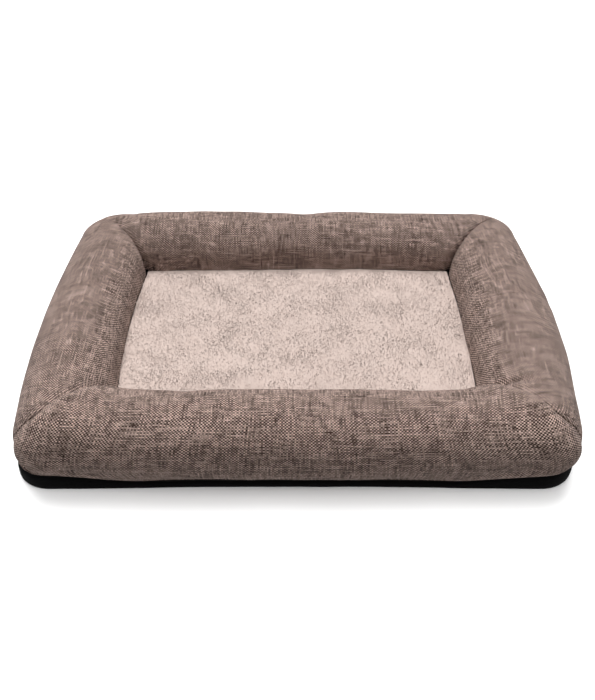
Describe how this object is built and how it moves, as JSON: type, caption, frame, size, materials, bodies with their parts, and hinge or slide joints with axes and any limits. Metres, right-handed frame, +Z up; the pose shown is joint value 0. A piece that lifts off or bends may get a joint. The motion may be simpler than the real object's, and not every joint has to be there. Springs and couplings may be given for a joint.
{
  "type": "pet cushion bed",
  "caption": "Rectangular bolster bed for a dog or cat: stuffed woven bolsters on all sides, a plush sleeping pad over a foam mattress, and a black non-slip base with a rear zip.",
  "frame": {"origin": "on the floor under the middle of the bed", "axes": "+Z up, +X to the bed's right seen from the front, the front faces -Y and the zip is at the rear, +Y"},
  "size_m": [0.9134, 0.7104, 0.15],
  "materials": {
    "cover_weave": "matte",
    "lining": "matte",
    "fibre": "matte",
    "plush": "matte",
    "foam": "matte",
    "waterproof_film": "satin",
    "base_cloth": "matte",
    "zip_tape": "matte",
    "zip_coil": "satin",
    "zip_metal": "satin",
    "label_cloth": "matte"
  },
  "bodies": {
    "bed": {"bolster_cover_front": "cover_weave", "bolster_cover_rear": "cover_weave", "bolster_cover_left": "cover_weave", "bolster_cover_right": "cover_weave", "bolster_lining_front": "lining", "bolster_lining_rear": "lining", "bolster_lining_left": "lining", "bolster_lining_right": "lining", "bolster_filling_front": "fibre", "bolster_filling_rear": "fibre", "bolster_filling_left": "fibre", "bolster_filling_right": "fibre", "sleeping_panel": "plush", "pad_batting": "fibre", "waterproof_bag": "waterproof_film", "foam_mattress": "foam", "bottom_panel": "base_cloth", "base_wadding": "fibre", "boxing_front": "base_cloth", "boxing_left": "base_cloth", "boxing_right": "base_cloth", "boxing_rear_left": "base_cloth", "boxing_rear_right": "base_cloth", "zip_tape_lower": "zip_tape", "zip_tape_upper": "zip_tape", "zip_coil_lower": "zip_coil", "zip_coil_upper": "zip_coil", "zip_stop_left": "zip_metal", "zip_stop_right": "zip_metal", "care_label": "label_cloth"},
    "zip_slider": {"zip_slider": "zip_metal"},
    "zip_pull": {"zip_pull_tab": "zip_metal"}
  },
  "joints": [
    {"name": "zip_slide", "type": "slide", "parent": "bed", "child": "zip_slider", "axis": [-1, 0, 0], "range_m": [0, 0.617]},
    {"name": "pull_tab_hinge", "type": "hinge", "parent": "zip_slider", "child": "zip_pull", "pos_m": [0.30878, 0.31943, 0.00965], "axis": [0, 0, -1], "range_deg": [0, 170]}
  ]
}
